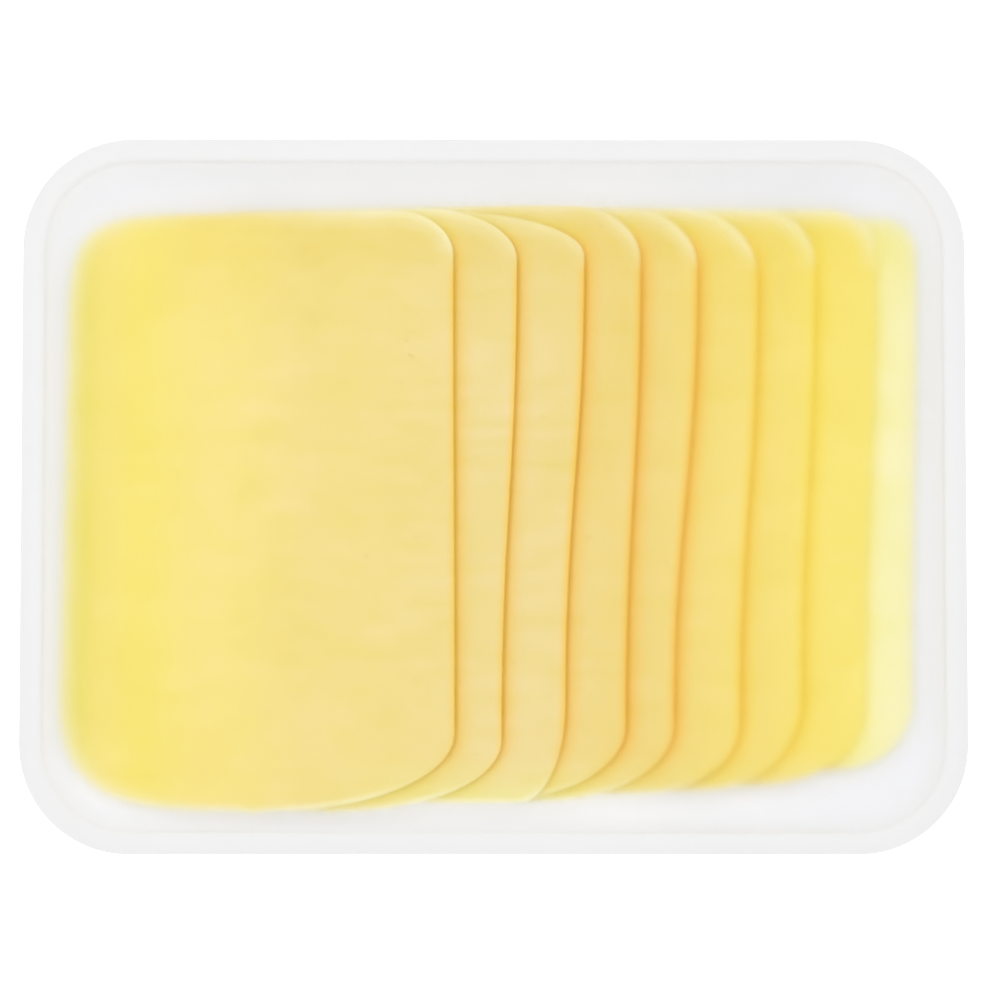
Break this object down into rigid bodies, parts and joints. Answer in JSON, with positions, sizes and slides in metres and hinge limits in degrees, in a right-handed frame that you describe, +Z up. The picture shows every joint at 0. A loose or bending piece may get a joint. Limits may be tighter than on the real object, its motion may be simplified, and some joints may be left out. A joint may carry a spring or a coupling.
{
  "type": "pack of sliced cheese",
  "caption": "Shallow white plastic tray with a flat rim, holding a fan of overlapping thin cheese slices under a clear sealed film.",
  "frame": {"origin": "middle of the tray's underside", "axes": "+X along the tray towards the lowest slice, +Y across it, +Z up"},
  "size_m": [0.206, 0.156, 0.0127],
  "materials": {
    "tray_plastic": "satin milky white moulded sheet",
    "cheese": "soft pale yellow cheese, slightly moist, lets light through where it is thin",
    "clear_film": "clear film with a faint frost"
  },
  "bodies": {
    "root": {"tray": "tray_plastic", "slice_1": "cheese", "slice_2": "cheese", "slice_3": "cheese", "slice_4": "cheese", "slice_5": "cheese", "slice_6": "cheese", "slice_7": "cheese", "slice_8": "cheese", "slice_9": "cheese", "lidding_film": "clear_film"}
  },
  "joints": []
}
